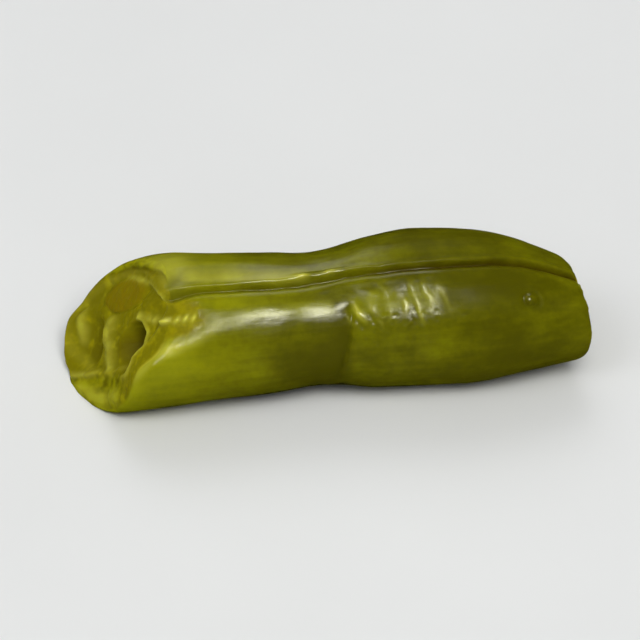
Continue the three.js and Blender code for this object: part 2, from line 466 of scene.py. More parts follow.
def sculpt_seam(pod, shape):
    """The groove where the valves meet, with painted shade in it, steep under the back valve's lip with its
    two drops; the lip carries a pale painted sheen and the drops painted glints.
    """
    depth, lip = shape.groove_depth / MM, shape.lip_height / MM
    outer = ease(0.80, 1.0, pod.share)
    surface = outer * (pod.share > 0.97)
    by_slice, before_waist = ease(-7.6, -9.4, pod.along), np.clip(-2.5 - pod.along, 0, 7)
    along_only = pod.plain_points() * (1, 0, 0)
    across = pod.arc - 0.07 * noise_at(along_only, (2.2, 1, 1), "seam line", 2)
    widening = 1 + 0.8 * by_slice
    groove = np.where(across > 0, hump(across, 0, 0.15), hump(across, 0, 0.24 * widening))
    deepness = 0.85 + 0.35 * noise_at(along_only, (1.7, 1, 1), "groove", 2) + 0.55 * by_slice
    pod.dent -= depth * groove * outer * deepness
    pod.dent += lip * hump(across, 0.36, 0.20) * outer
    pod.dent += 1.3 * lip * hump(pod.along, -0.5, 1.6) * hump(across, 0.44, 0.26) * outer
    pod.dent += 0.4 * lip * hump(across, -0.66, 0.34) * outer
    # Painted shade: the groove is darkened with the hollow colour, more so towards the swelling.
    pod.stain("hollow", (0.35 + 0.35 * ease(1.5, 5.0, pod.along)) * groove * surface)

    # The two drops are raised bumps; their pale colour is a painted glint.
    drops = sum(hump(pod.along, place, length) for place, length in SEAM_DROPS) * hump(pod.arc, 0.50, 0.17)
    pod.dent += 0.11 * drops * outer
    thicker = ease(-9.6, -8.2, pod.along) * ease(0.4, -1.2, pod.along)
    pod.dent += 0.5 * lip * hump(across, 0.58, 0.26) * thicker * outer
    # A pale band along the lip from the slice to the waist, in the lining colour: a painted sheen.
    lip_sheen_at = 0.46 + 0.09 * before_waist
    tail = np.where(pod.arc > lip_sheen_at, 0.55 + 0.05 * before_waist, 0.26)
    lip_sheen = hump(pod.arc, lip_sheen_at, tail) * ease(-9.9, -8.4, pod.along) * ease(-0.6, -1.6, pod.along)
    lip_sheen *= 0.85 + 0.5 * noise_at(along_only, (1.3, 1, 1), "lip sheen", 2)
    pod.stain("lining", np.clip(0.44 * lip_sheen + 0.60 * drops, 0, 0.8) * surface)


def sculpt_fold(pod):
    """The cross crease just past the waist: it dips on the near side and stands up on the far side."""
    lies_at = 1.55 - (35 - pod.round) / 53 * 0.8
    away = pod.along - lies_at + 0.10 * noise_at(pod.plain_points(), (3, 0.9, 0.9), "crease", 2)
    length = ease(-48, -16, pod.round) * ease(52, 40, pod.round)
    dip = np.exp(np.minimum(away, 0) / 0.75) * ease(0.10, -0.04, away)
    ridge = ease(-0.06, 0.09, away) * ease(1.5, 0.1, away)
    pod.dent += (0.10 * ridge - 0.24 * dip) * length * pod.skin


def sculpt_wrinkles(pod, shape):
    """Fine cross wrinkles on the front valve's flattened shoulder over the seed, and pebbly pits below."""
    at, skin = pod.plain_points(), pod.skin
    apart, first_at = 0.93, 2.05
    across = np.radians(pod.round - 47) * 4.9  # mm round the pod from the middle of the shoulder
    flattened = ease(0.6, 2.2, pod.along) * ease(9.5, 7.0, pod.along)
    pod.dent -= 0.14 * hump(across, 0, 1.3) * flattened * skin
    along_only = at * (1, 0, 0)
    drift = noise_at(at, (2.4, 2.0, 2.0), "wrinkles", 2)
    ends = noise_at(along_only, (0.8, 1, 1), "stroke ends", 1)
    tops = noise_at(along_only, (0.7, 1, 1), "stroke tops", 1)
    patch = ease(0.9, 1.7, pod.along) * ease(8.9, 6.4, pod.along)
    patch *= ease(30 + 14 * ends, 42 + 10 * ends, pod.round)
    patch *= ease(66 + 10 * tops, 50 + 14 * tops, pod.round)
    place = pod.along + 0.026 * (pod.round - 45) + 0.42 * drift
    crest = (0.5 + 0.5 * np.cos(2 * np.pi * (place - first_at) / apart)) ** 1.4
    uneven = np.clip(0.75 + 1.1 * noise_at(at, (0.8, 1.4, 1.4), "strokes", 2), 0.05, 1.6)
    uneven += 0.7 * hump(pod.along, 2.0, 0.7)
    crinkle = noise_at(at, (0.34, 0.8, 0.8), "crinkle", 2)
    height = shape.wrinkle_height / MM
    pod.dent += height * (crest + 0.22 * crinkle - 0.4) * patch * uneven * skin
    pod.stain("dry", np.clip(0.90 - 0.60 * crest**2 * uneven, 0, 1) * patch * skin)
    # Painted sheen: the wrinkled patch is made yellower. Painted highlights: the wrinkle crests are laid in
    # the pale lining colour, most at the patch's foot.
    pod.stain("yellow", 0.46 * patch * skin)
    at_foot = ease(62, 40, pod.round)
    pod.stain("lining", np.clip((0.05 + 0.36 * at_foot) * crest**1.5 * uneven, 0, 0.5) * patch * skin)

    pebbled = ease(0.6, 1.6, pod.along) * ease(10.5, 7.0, pod.along)
    pebbled *= ease(2, 16, pod.round) * ease(44, 34, pod.round)
    pits = ease(0.05, 0.6, noise_at(at, (0.30, 0.36, 0.36), "pebbles", 1))
    pod.dent -= 0.045 * pits * pebbled * skin


def sculpt_bead(pod):
    """A drop of cooking liquid that sits in its own small dimple on the shoulder."""
    away = pod.from_bead()
    dome = np.sqrt(np.clip(1 - (away / BEAD_SIZE) ** 2, 0, 1))
    dimple = hump(away, 0.55, 0.16)
    pod.dent += pod.skin * (0.26 * dome - 0.05 * dimple)


def sculpt_tear(pod, shape):
    """The patch beside the slice where skin and a little flesh have come away, as a soft-sided dip, with
    painted highlights on its lower lip and border.
    """
    at = pod.plain_points()
    ragged = noise_at(at, (0.8, 0.6, 0.6), "tear edge", 3)
    # How far inside either border a point lies, in mm.
    lower = np.radians(pod.round - along_curve(TEAR_LOWER, pod.along)) * 4.7 + 0.06 * ragged
    upper = np.radians(along_curve(TEAR_UPPER, pod.along) - pod.round) * 4.7 + 0.12 * ragged
    bare = ease(0.25, 0.80, lower + 0.15 * ragged) * ease(-0.05, 0.8, upper)
    bare *= ease(-7.5, -8.4, pod.along + 0.3 * ragged)
    below_top = ease(-0.1, 0.8, upper)
    deep = shape.tear_depth / MM * curve_through(TEAR_DEPTH)(pod.along)
    lumps = noise_at(at, (1.1, 0.7, 0.7), "tear lumps", 3)
    follow = ease(0.42, 1.0, pod.share)
    pod.dent -= deep * ease(-0.9, 1.0, lower) * ease(-0.3, 1.7, upper) * follow
    pod.dent += 0.035 * lumps * bare * follow
    outermost = ease(0.94, 0.99, pod.share)
    pod.stain("flesh", bare * outermost)
    pod.stain("yellow", 0.12 * bare * outermost)
    # Painted highlight along the patch's lower lip, brightest in a spot near the slice, in the pale lining
    # colour.
    lip_highlight = hump(lower, -0.08, 0.34) * below_top * ease(-6.8, -9.0, pod.along) * outermost
    pod.stain("lining", (0.30 + 0.5 * hump(pod.along, -10.2, 0.6)) * lip_highlight)
    # The torn flesh is darkened a little towards the dark hollow colour.
    pod.stain("hollow", 0.24 * bare * outermost)
    # Painted highlight along the patch's lower border.
    border_highlight = hump(lower, 0.1, 0.5) * below_top * ease(-5.9, -7.0, pod.along)
    pod.stain("edge", 0.15 * border_highlight * outermost)
    pod.stain("dry", bare * outermost)
    merging = ease(-3.5, -6.8, pod.along) * ease(-9.8, -8.4, pod.along)
    pod.stain("dry", (0.66 + 0.16 * ease(42, 50, pod.round)) * merging * outermost)


def sculpt_fibre(pod):
    """The loose fibre, with its beads of liquid."""
    come = pod.first + pod.off_near
    wander = noise_at(pod.plain_points(), (1.1, 1.1, 1.1), "fibre", 2)
    across = pod.second - along_curve(FIBRE, come) - 0.05 * wander
    shown = ease(1.2, 1.8, come) * ease(6.6, 6.1, come)
    shown *= ease(0.0, 1.0, pod.first) * ease(9.0, 7.0, pod.off_near)
    beads = sum(height * hump(come, place, length) for place, height, length in FIBRE_BEADS)
    thickness = 0.02 + beads
    raised = thickness * hump(across, 0, 0.24) * shown
    pod.push -= raised * ease(0.0, 0.8, pod.from_edge)
    pod.dent += raised * ease(1.2, 0.0, pod.from_edge)
    # The fibre's pale tissue is its own colour; its beads of liquid are painted paler still, a painted glint.
    pod.stain("lining", np.clip(0.12 + 3.0 * thickness, 0, 0.9) * hump(across, 0, 0.25) * shown)
    pod.masks["dry"] *= 1 - np.clip(3.2 * thickness, 0, 1) * hump(across, 0, 0.3) * shown


def bowl(pod, place, sizes, tilt=0.0):
    """Distance from a bowl's middle on a slice as a share of its size, so that 1 is its rim."""
    turn = math.radians(tilt)
    u, v = pod.first - place[0], pod.second - place[1]
    along = u * math.cos(turn) + v * math.sin(turn)
    across = v * math.cos(turn) - u * math.sin(turn)
    return np.hypot(along / sizes[0], across / sizes[1])


def round_the_edge(pod, from_slice, slope, on_slice, on_skin, inwards):
    """Rolls the skin and a slice over into each other, starting this far along the slice and along the skin.

    slope is the slice's own along X for each mm outwards, and inwards is +1 or -1 along X.
    """
    near_it = np.clip(1 - pod.from_edge / on_slice - np.abs(from_slice) / on_skin, 0, 1)
    moved = near_it**3 / (3 / on_slice + 3 / on_skin)
    pod.push += moved * (inwards - slope)
    pod.dent -= moved


# By the angle round the pod: how far the skin rolls over into the slanting slice, how far its rim flares out,
# and how far it bulges towards -X.
NEAR_ROLL = [
    (-180, 0.6), (-165, 0.55), (-140, 0.8), (-110, 1), (-80, 0.9), (-45, 0.6), (-12, 0.6), (8, 0.65),
    (24, 0.8), (40, 1.2), (60, 1.5), (74, 1.2), (88, 1.5), (120, 1.6), (150, 1.2), (168, 0.8),
]
NEAR_FLARE = [
    (-180, 0.62), (-165, 0.76), (-154, 0.74), (-143, 0.5), (-130, 0.34), (-116, 0.4), (-100, 0.42),
    (-80, 0.38), (-60, 0.28), (-30, 0.05), (0, 0), (60, 0), (100, 0.02), (125, 0.2), (145, 0.42),
    (165, 0.52),
]
NEAR_BULGE = [
    (0, 0), (195, 0), (207, 0.46), (222, 0.42), (236, 0.42), (246, 0.34), (256, 0.27), (270, 0.3),
    (286, 0.2), (305, 0), (360, 0),
]


def sculpt_near_face(pod):
    """The slanting slice: the open seed chamber with a cut seed, two hollows and the fold of its pale
    membrane, with painted shade in its hollows and recesses.
    """
    face = pod.on_near
    at = np.stack([pod.along, pod.first, pod.second], axis=1)
    grain = noise_at(at, (0.30, 0.30, 0.30), "near grain", 3)
    swell = noise_at(at, (1.1, 1.1, 1.1), "near swell", 3)
    uneven = noise_at(at, (0.55, 0.55, 0.55), "near spots", 2)
    first, second = pod.first, pod.second
    roll = curve_through(NEAR_ROLL, 360)(pod.round)
    top = ease(60, 90, pod.round) * ease(190, 150, pod.round)
    round_the_edge(pod, pod.off_near, pod.rim_slope(NEAR_SLICE), roll, roll * (1.2 + top), 1)
    flare = curve_through(NEAR_FLARE, 360)(pod.round)
    pod.dent += flare * ease(6.0, 0.0, pod.off_near) * ease(0.35, 1.0, pod.share)
    bulge = curve_through(NEAR_BULGE)(np.mod(pod.round, 360))
    pod.push -= bulge * ease(0.45, 0.95, pod.share) * ease(2.6, 0.0, pod.off_near)
    inner = face * ease(0.0, 0.5, pod.from_edge)
    pod.push += inner * (0.016 * grain + 0.05 * swell + 0.05 * uneven)

    # On the slice, first and second are mm from its middle along its own two axes.
    chamber = bowl(pod, (-0.25, 0.65), (4.15, 3.0), 4) + 0.035 * swell + 0.01 * grain
    inside = ease(1.05, 0.91, chamber)
    lip = hump(chamber, 1.0, 0.06)
    pod.push += inner * (0.30 * inside - 0.06 * lip * (0.6 + 0.6 * uneven))

    front = bowl(pod, (1.58, -0.92), (1.62, 1.24), 92) + 0.05 * swell + 0.02 * grain
    back = bowl(pod, (-2.85, -0.45), (1.50, 1.75), 0) + 0.05 * swell + 0.02 * grain
    hollow_front, hollow_back = ease(1.06, 0.60, front), ease(1.05, 0.50, back)
    pod.push += inner * (0.6 + 2.0 * ease(0.0, 1.6, first)) * hollow_front
    pod.push += inner * 0.55 * hollow_back
    raised = hump(front, 1.13, 0.10) * ease(0.8, 1.8, first) + hump(back, 1.12, 0.08)
    pod.push -= inner * 0.08 * raised
    rib = hump(first, -3.72 - 0.06 * swell, 0.22) * ease(-0.9, 0.0, second) * ease(1.8, 1.0, second)
    pod.push -= inner * 0.20 * rib

    # The seed with the gap round it, the lining's rim over it, and the crevice under the pod's wall.
    seed = bowl(pod, (-0.45, 2.33), (2.0, 0.95), 5) + 0.015 * swell
    over_seed = ease(1.04, 0.90, seed)
    gap = hump(seed, 1.06, 0.11) * (0.35 + 0.65 * ease(-0.6, 1.0, first))
    crown = np.sqrt(np.clip(1 - (seed / 1.02) ** 2, 0, 1))
    pod.push += inner * (0.10 * gap - 0.17 * crown + 0.012 * grain * over_seed)
    arc_at = 3.32 - 0.073 * (first + 0.3) ** 2 + 0.08 * swell
    rim = hump(second, arc_at, 0.17) * ease(-1.5, -0.4, first)
    pod.push -= inner * 0.12 * rim
    crevice_at = 3.80 - 0.045 * (first - 0.5) ** 2 + 0.05 * swell
    crevice = hump(second, crevice_at, 0.28) * ease(-3.0, -1.4, first)
    pod.push += inner * 0.24 * crevice
    wall = ease(crevice_at - 0.05, crevice_at + 0.25, second)

    fold_at = -0.85 - 0.22 * second + 0.12 * swell
    fold = hump(first, fold_at, 0.44) * ease(-2.75, -2.1, second) * ease(1.35, 0.9, second)
    ledge = hump(second, -2.3 + 0.1 * swell, 0.17) * ease(-4.4, -3.9, first) * ease(-0.9, -2.0, first)
    pod.push -= inner * (0.26 * fold + 0.16 * ledge)

    # The lower wall, with a crest of flesh along its edge and a split across it.
    below = ease(-2.2, -2.8, second) * ease(2.6, 0.6, first)
    crest = hump(pod.from_edge, 0.95, 0.42) * ease(1.6, 0.6, first)
    crest *= ease(-2.9, -3.4, second + 0.15 * first)
    split = hump(np.radians(pod.round + 56) * pod.reach, 0, 0.16) * below
    split *= ease(1.9, 1.3, pod.from_edge)
    pod.push -= 0.30 * below * ease(0.45, 1.0, pod.share) * ease(2.5, 0.0, pod.off_near)
    pod.push += inner * (0.14 * split - 0.13 * crest)

    # What the skin, the wall and the lower wall cover shows as skin, and the rest as flesh.
    torn_side = ease(0, 14, pod.round) * ease(82, 70, pod.round)
    hull = ease(0.34, 0.06, pod.from_edge) * (1 - torn_side)
    covered = np.maximum(np.maximum(hull, 0.9 * wall), 0.75 * below)
    pod.stain("face", face)
    pod.stain("flesh", face * (1 - 0.9 * covered))
    tone = 0.13 + 0.46 * below + 0.50 * wall + 0.25 * crest + 0.45 * uneven + 0.20 * grain
    pod.stain("yellow", face * np.clip(tone, 0, 1))
    pod.stain("seed", inner * over_seed)

    # Painted shade, in the hollow colour: darkest in the front hollow towards its right side, over a patch
    # beside it, in the back hollow, the crevice, the split, under the fold, and faintly over the whole
    # chamber.
    shade = bowl(pod, (1.05, -0.95), (1.30, 1.35)) + 0.04 * swell
    under_fold = ease(-2.2, -2.6, second) * ease(-3.5, -3.1, second)
    under_fold *= ease(-2.4, -1.4, first) * ease(2.2, 1.2, first)
    pod.stain(
        "hollow",
        inner * hollow_front * (0.62 + 0.38 * ease(0.2, 1.6, first)),
        inner * 0.50 * ease(1.0, 0.35, shade),
        inner * 0.30 * hollow_back * (0.4 + 0.6 * ease(-3.4, -2.4, first)),
        inner * 0.22 * crevice,
        inner * 0.15 * split,
        inner * 0.14 * under_fold,
        inner * 0.06 * inside,
    )
    wet = np.maximum(0.45 * np.maximum(crest, ledge), 0.25 * fold) + 0.35 * ease(0.35, 0.8, uneven)
    pod.stain("dry", inner * hollow_front, inner * hollow_back, inner * (1 - wet))

    # Painted sheen over the rolled top rim of the slice, in the pale lining colour.
    top_rim_sheen = hump(pod.off_near, 0.2, 1.7) * hump(pod.round, 106, 24)
    pod.stain("lining", 0.40 * top_rim_sheen * ease(0.8, 0.95, pod.share))
    # Pale lining on the fold, rib, rims and crest; on the ledge's top it is a painted highlight.
    mottled = inner * (0.85 + 0.3 * uneven)
    pod.stain(
        "lining",
        mottled * 0.42 * fold,
        mottled * 0.42 * rib,
        mottled * 0.45 * ledge,
        mottled * 0.40 * rim,
        mottled * 0.40 * hump(front, 1.12, 0.13) * ease(1.2, 2.2, first),
        mottled * 0.26 * crest,
        mottled * 0.12 * lip,
    )


def sculpt_far_face(pod):
    """The trimmed narrow end: a thick ring of flesh round a small chamber with the end of a seed in it."""
    face = pod.on_far
    at = np.stack([pod.along, pod.first, pod.second], axis=1)
    grain = noise_at(at, (0.30, 0.30, 0.30), "far grain", 3)
    swell = noise_at(at, (1.0, 1.0, 1.0), "far swell", 3)
    uneven = noise_at(at, (0.5, 0.5, 0.5), "far spots", 2)
    round_the_edge(pod, pod.off_far, -pod.rim_slope(FAR_SLICE), 0.7, 0.9, -1)
    face = face * ease(0.0, 0.3, pod.from_edge)
    pod.push -= face * (0.022 * grain + 0.09 * swell)
    chamber = bowl(pod, (0.20, 0.12), (0.92, 1.55), -38) + 0.06 * swell + 0.02 * grain
    hollow = ease(1.05, 0.55, chamber)
    pod.push += face * (-1.0 * hollow + 0.07 * hump(chamber, 1.15, 0.13))
    seed = bowl(pod, (0.36, 0.42), (0.55, 0.78), -38)
    pod.push += face * 0.75 * np.sqrt(np.clip(1 - (seed / 1.02) ** 2, 0, 1))
    hull = ease(0.26, 0.05, pod.from_edge)
    pod.stain("face", pod.on_far)
    pod.stain("flesh", pod.on_far * (1 - 0.85 * hull))
    pod.stain("yellow", pod.on_far * np.clip(0.40 + 0.25 * uneven, 0, 1))
    # Painted shade in the far chamber, in the hollow colour.
    pod.stain("hollow", face * hollow)
    pod.stain("seed", face * ease(1.0, 0.85, seed))
    pod.stain("lining", face * 0.6 * hump(chamber, 1.12, 0.10))


def skin_tone_and_painted_light(pod):
    """Skin colour along the pod, with painted shade below and at the groove's start, painted sheen and
    highlight on the shoulder and the back valve's top, and where the film of liquid has run off.
    """
    along, angle, skin = pod.along, pod.round, pod.skin
    drift = noise_at(pod.plain_points(), (4.0, 2.2, 2.2), "skin_tone_and_painted_light", 3)
    front = ease(56, 40, angle) * ease(-120, -90, angle)
    yellow = front * along_curve(YELLOW_FRONT, along) + (1 - front) * along_curve(YELLOW_TOP, along)
    # Painted shade: the front is made darker towards the underside.
    yellow += 0.12 * drift - 0.12 * front * ease(10, -45, angle)
    shoulder = hump(angle, 50, 9) * ease(-7.0, -5.0, along) * ease(1.0, 0.2, along)
    pod.stain(
        "yellow",
        skin * np.clip(yellow, 0, 1),
        # Painted sheen on the back valve's top and on the shoulder past the fold.
        0.22 * skin * hump(angle, 103, 9) * hump(along, 3.4, 1.7),
        0.34 * skin * hump(angle, 56, 9) * hump(along, 6.4, 2.0),
    )
    # Painted shade at the groove's start by the slice.
    pod.masks["yellow"] *= 1 - 0.55 * skin * hump(angle, 83, 8) * hump(along, -9.6, 1.0)
    # Painted highlight under the shoulder's streak of gloss.
    pod.stain("yellow", 0.62 * skin * shoulder)

    behind, far_top = ease(66, 78, angle), ease(98, 110, angle)
    run_off = (1 - behind) * ease(5.8, 7.9, along + 0.8 * drift)
    run_off += behind * ease(2.0, 5.0, along + drift - 2.5 * far_top)
    by_slice = ease(74, 84, angle) * ease(112, 98, angle) * ease(-8.1, -9.7, along + 0.4 * drift)
    on_top = hump(angle, 74, 14) * ease(-8.0, -5.5, along) * ease(6.0, 3.0, along)
    pod.stain(
        "dry",
        0.98 * skin * run_off * ease(0.35, 0.62, pod.from_bead()),
        0.75 * skin * by_slice,
        0.40 * skin * on_top * ease(0.35, 0.0, pod.arc),
    )


def settle(points):
    """Presses the soft underside flat where it would reach below the floor, which it meets gently."""
    give = 0.10
    z = points[:, 2]
    eased = np.where(z < -give, 0.0, (z + give) ** 2 / (4 * give))
    points[:, 2] = np.where(z > give, z, eased)
    return points


def write_points(mesh, points):
    mesh.vertices.foreach_set("co", (points * MM).ravel())
    mesh.update()


def write_mask(mesh, name, values):
    attribute = mesh.attributes.new(name, "FLOAT", "POINT")
    attribute.data.foreach_set("value", np.clip(values, 0, 1).astype(np.float32))


# ------ materials

NOISE, MATH, MIX = "ShaderNodeTexNoise", "ShaderNodeMath", "ShaderNodeMix"
MAP_RANGE = "ShaderNodeMapRange"

# The sockets of a Map Range node go by name. Those of a colour Mix node go by number: its share and its two
# colours, and the colour that it gives. So do a Math node's two values, 0 and 1.
SPREAD = ("Value", "From Min", "From Max", "To Min", "To Max")
BLEND, BLENDED = (0, 6, 7), 2
GRAIN_HEIGHT = 0.05 * MM


def add_node(tree, kind, settings, inputs, output=0):
    """Adds a node with its settings, fills or links its inputs, and gives one of its outputs."""
    node = tree.nodes.new(kind)
    for name, value in settings.items():
        setattr(node, name, value)
    for name, value in inputs.items():
        if isinstance(value, bpy.types.NodeSocket):
            tree.links.new(value, node.inputs[name])
        else:
            node.inputs[name].default_value = value
    return node.outputs[output] if node.outputs else None


def new_material(name):
    material = bpy.data.materials.new(name)
    material.use_nodes = True
    material.node_tree.nodes.clear()
    return material


def cooked_bean_material(colours):
    """Cooked pod: soft, translucent skin and flesh under a film of water.

    The pigment shines out of the depth of the tissue, so the colour is deep and even with a faint lengthwise
    grain, and the film gives small hard highlights over it.
    """
    material = new_material("cooked green bean, wet")
    tree = material.node_tree
    tone_names = ("skin_deep", "skin_yellow", "flesh", "flesh_pale", "lining", "seed", "hollow")
    tones = {name: (*getattr(colours, name), 1.0) for name in tone_names}

    node = partial(add_node, tree)
    place = node("ShaderNodeTexCoord", {}, {}, "Object")
    in_mm = node("ShaderNodeMapping", {}, {"Vector": place, "Scale": (1000, 1000, 1000)})
    along = node("ShaderNodeMapping", {}, {"Vector": place, "Scale": (110, 1000, 1000)})
    mask = {name: node("ShaderNodeAttribute", {"attribute_name": name}, {}, "Fac") for name in MASKS}
    add, times, less = {"operation": "ADD"}, {"operation": "MULTIPLY"}, {"operation": "SUBTRACT"}
    soft, mix = {"interpolation_type": "SMOOTHSTEP"}, {"data_type": "RGBA"}
    on_skin = node(MATH, less, {0: 1.0, 1: mask["face"]})

    # Skin: patches 3 mm wide, streaks half a millimetre wide and 5 mm long, and specks. A noise's scale is how
    # many of its features fit in a millimetre.
    wide = node(NOISE, {}, {"Vector": in_mm, "Scale": 0.30, "Detail": 2.0, "Roughness": 0.55})
    patches = node(MAP_RANGE, soft, dict(zip(SPREAD, (wide, 0.3, 0.7, -0.07, 0.07))))
    fine = node(NOISE, {}, {"Vector": along, "Scale": 1.8, "Detail": 3.0, "Roughness": 0.5})
    streaks = node(MAP_RANGE, soft, dict(zip(SPREAD, (fine, 0.3, 0.7, -0.05, 0.05))))
    streaks = node(MATH, times, {0: streaks, 1: on_skin})
    dots = node(NOISE, {}, {"Vector": in_mm, "Scale": 2.2, "Detail": 2.0, "Roughness": 0.55})
    specks = node(MAP_RANGE, soft, dict(zip(SPREAD, (dots, 0.35, 0.72, 0.02, -0.05))))
    turned = node(MATH, add, {0: mask["yellow"], 1: patches})
    marks = node(MATH, add, {0: streaks, 1: specks})
    turned = node(MATH, add, {0: turned, 1: marks})
    turned = node(MAP_RANGE, soft, dict(zip(SPREAD, (turned, 0.0, 1.0, 0.0, 1.0))))
    skin_tones = (turned, tones["skin_deep"], tones["skin_yellow"])
    skin = node(MIX, mix, dict(zip(BLEND, skin_tones)), BLENDED)

    # Flesh: juicy cells a quarter of a millimetre across, in clouds a millimetre wide.
    cell_size = {"Vector": in_mm, "Scale": 3.6, "Smoothness": 0.7}
    cells = node("ShaderNodeTexVoronoi", {"feature": "SMOOTH_F1"}, cell_size)
    cloudy = node(NOISE, {}, {"Vector": in_mm, "Scale": 1.0, "Detail": 3.0, "Roughness": 0.6})
    clouds = node(MAP_RANGE, soft, dict(zip(SPREAD, (cloudy, 0.3, 0.7, -0.22, 0.22))))
    juice = node(MAP_RANGE, soft, dict(zip(SPREAD, (cells, 0.1, 0.7, 0.05, -0.08))))
    juicy = node(MATH, add, {0: mask["yellow"], 1: clouds})
    juicy = node(MATH, add, {0: juicy, 1: juice})
    juicy = node(MAP_RANGE, soft, dict(zip(SPREAD, (juicy, 0.0, 1.0, 0.0, 1.0))))
    flesh_tones = (juicy, tones["flesh"], tones["flesh_pale"])
    flesh = node(MIX, mix, dict(zip(BLEND, flesh_tones)), BLENDED)

    # Seed: mealy. Then each tissue lies over the skin where its mask says so, and so do the hollow colour as
    # painted shade and the lining colour, which also carries painted highlights.
    meal = node(NOISE, {}, {"Vector": in_mm, "Scale": 1.8, "Detail": 3.0, "Roughness": 0.55})
    mealy = node(MAP_RANGE, soft, dict(zip(SPREAD, (meal, 0.35, 0.7, 0.0, 0.5))))
    seed_tones = (mealy, tones["seed"], tones["flesh"])
    seed = node(MIX, mix, dict(zip(BLEND, seed_tones)), BLENDED)
    # Painted highlight along the tear's border, in the lining colour.
    border_highlight = node(MATH, times, {0: mask["edge"], 1: 0.7})
    colour = skin
    for amount, tone in (
        (mask["flesh"], flesh), (mask["hollow"], tones["hollow"]), (mask["seed"], seed),
        (mask["lining"], tones["lining"]), (border_highlight, tones["lining"]),
    ):
        colour = node(MIX, mix, dict(zip(BLEND, (amount, colour, tone))), BLENDED)

    # Relief: lengthwise ribs and fine pebbling on the skin, cells on the flesh.
    ribs = node(NOISE, {}, {"Vector": along, "Scale": 3.6, "Detail": 3.0, "Roughness": 0.55})
    ribs = node(MATH, times, {0: ribs, 1: 0.5})
    ribs = node(MATH, times, {0: ribs, 1: on_skin})
    bumps = node(NOISE, {}, {"Vector": in_mm, "Scale": 4.0, "Detail": 3.0, "Roughness": 0.55})
    bumps = node(MATH, times, {0: bumps, 1: 0.5})
    pits = node(MATH, times, {0: cells, 1: -0.5})
    pits = node(MATH, times, {0: pits, 1: mask["flesh"]})
    relief = node(MATH, add, {0: ribs, 1: bumps})
    relief = node(MATH, add, {0: relief, 1: pits})
    tissue = node("ShaderNodeBump", {}, {"Strength": 0.6, "Distance": GRAIN_HEIGHT, "Height": relief})
    film = node("ShaderNodeBump", {}, {"Strength": 0.22, "Distance": GRAIN_HEIGHT, "Height": relief})

    # The film of water is thin or gone where it is dry. The tissue under it is a little uneven in gloss.
    film_weight = node(MATH, less, {0: 1.0, 1: mask["dry"]})
    gloss = node(NOISE, {}, {"Vector": in_mm, "Scale": 0.7, "Detail": 3.0, "Roughness": 0.55})
    rough = node(MAP_RANGE, soft, dict(zip(SPREAD, (gloss, 0.3, 0.7, 0.36, 0.48))))
    shader = node(
        "ShaderNodeBsdfPrincipled", {"subsurface_method": "RANDOM_WALK"},
        {
            "Base Color": colour,
            "Roughness": rough,
            "IOR": 1.4,
            "Specular IOR Level": 0.04,
            "Subsurface Weight": 0.5,
            "Subsurface Radius": (1.1, 0.9, 0.25),
            "Subsurface Scale": 0.9 * MM,
            "Coat Weight": film_weight,
            "Coat Roughness": 0.18,
            "Coat IOR": 1.4,
            "Normal": tissue,
            "Coat Normal": film,
        },
    )
    node("ShaderNodeOutputMaterial", {}, {"Surface": shader})
    return material


def floor_material(colour):
    """Matt laminate board: near white, dull, with a trace of unevenness so that it isn't one flat tone."""
    material = new_material("matt white laminate")
    node = partial(add_node, material.node_tree)
    place = node("ShaderNodeTexCoord", {}, {}, "Object")
    cloud = node(NOISE, {}, {"Vector": place, "Scale": 30.0, "Detail": 3.0})
    cloud = node(MAP_RANGE, {}, dict(zip(SPREAD, (cloud, 0.3, 0.7, 0.0, 1.0))))
    darker = tuple(0.96 * c for c in colour)
    tones = (cloud, (*darker, 1.0), (*colour, 1.0))
    tone = node(MIX, {"data_type": "RGBA"}, dict(zip(BLEND, tones)), BLENDED)
    shader = node("ShaderNodeBsdfPrincipled", {}, {"Base Color": tone, "Roughness": 0.7})
    node("ShaderNodeOutputMaterial", {}, {"Surface": shader})
    return material


# ------ operators


class BEAN_OT_pod(bpy.types.Operator):
    """Model the cut pod and give it its wet, cooked look"""

    bl_idname = "bean.pod"
    bl_label = "Pod"

    def execute(self, context):
        shape, colours = context.scene.bean_shape, context.scene.bean_colours
        piece = model_blank()
        round_off(piece)
        pod = PodSurface(piece.data)
        sculpt_softness(pod)
        sculpt_seam(pod, shape)
        sculpt_fold(pod)
        sculpt_wrinkles(pod, shape)
        sculpt_bead(pod)
        sculpt_tear(pod, shape)
        sculpt_near_face(pod)
        sculpt_fibre(pod)
        sculpt_far_face(pod)
        skin_tone_and_painted_light(pod)
        points = settle(pod.points()) + np.array(MOVE_TO_FRAME)
        write_points(piece.data, points)
        for name, values in pod.masks.items():
            write_mask(piece.data, name, values)
        bpy.ops.object.shade_smooth()
        piece.data.materials.append(cooked_bean_material(colours))
        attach(piece, "root")
        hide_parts("green_bean")
        return {"FINISHED"}


AIM = (-0.000604, 0.0, 0.00446)  # where the camera and the softboxes look
CAMERA_AWAY = 1.0
SENSOR = 36.0
FLOOR_SIZE = 3.0
AMBIENT = 0.26
WHITE = (1, 1, 1)

# The strip only adds to the gloss, and stands just before the front softbox.
SOFTBOXES = [  # name, azimuth, elevation, distance, (width, height), watts, colour
    ("front_softbox", 9, 54, 0.80, (0.62, 0.56), 13.5, (1.0, 0.985, 0.93)),
    ("streak_strip", 9, 54, 0.78, (0.50, 0.30), 6.2, (1.0, 1.0, 0.62)),
    ("left_softbox", -52, 52, 0.80, (0.60, 0.60), 4.6, WHITE),
    ("back_softbox", 178, 50, 0.50, (0.56, 0.56), 2.0, WHITE),
]
GLOSS_ONLY = ("streak_strip",)


